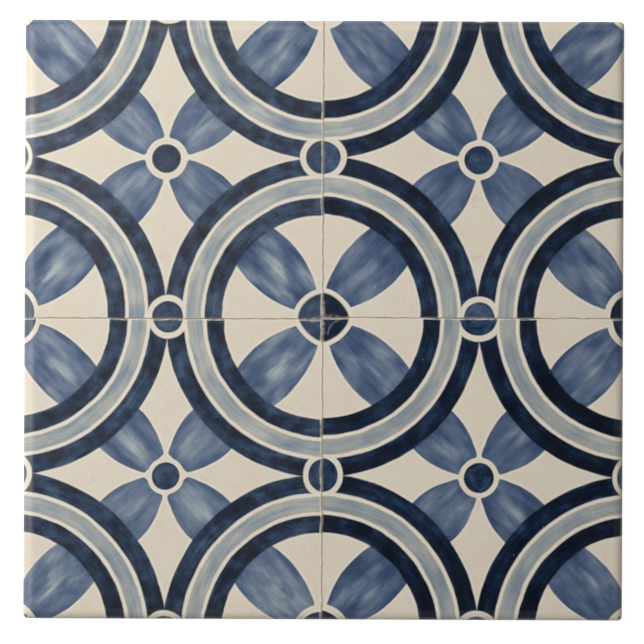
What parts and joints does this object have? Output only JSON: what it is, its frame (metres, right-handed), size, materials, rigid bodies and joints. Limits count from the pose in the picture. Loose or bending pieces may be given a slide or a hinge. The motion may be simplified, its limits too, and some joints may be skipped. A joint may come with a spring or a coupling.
{
  "type": "decorated ceramic tile",
  "caption": "Square glazed ceramic tile with a cushioned edge and a keyed back, its face decorated with interlaced blue rings, petals and small discs on cream.",
  "frame": {"origin": "on the floor under the middle of the tile, in the plane of its back ribs", "axes": "+Z out of the decorated face, +X to the right and +Y to the top of the decoration as seen in the picture"},
  "size_m": [0.108, 0.108, 0.006],
  "materials": {
    "glazed_tile": "satin"
  },
  "bodies": {
    "root": {"glazed_tile": "glazed_tile"}
  },
  "joints": []
}
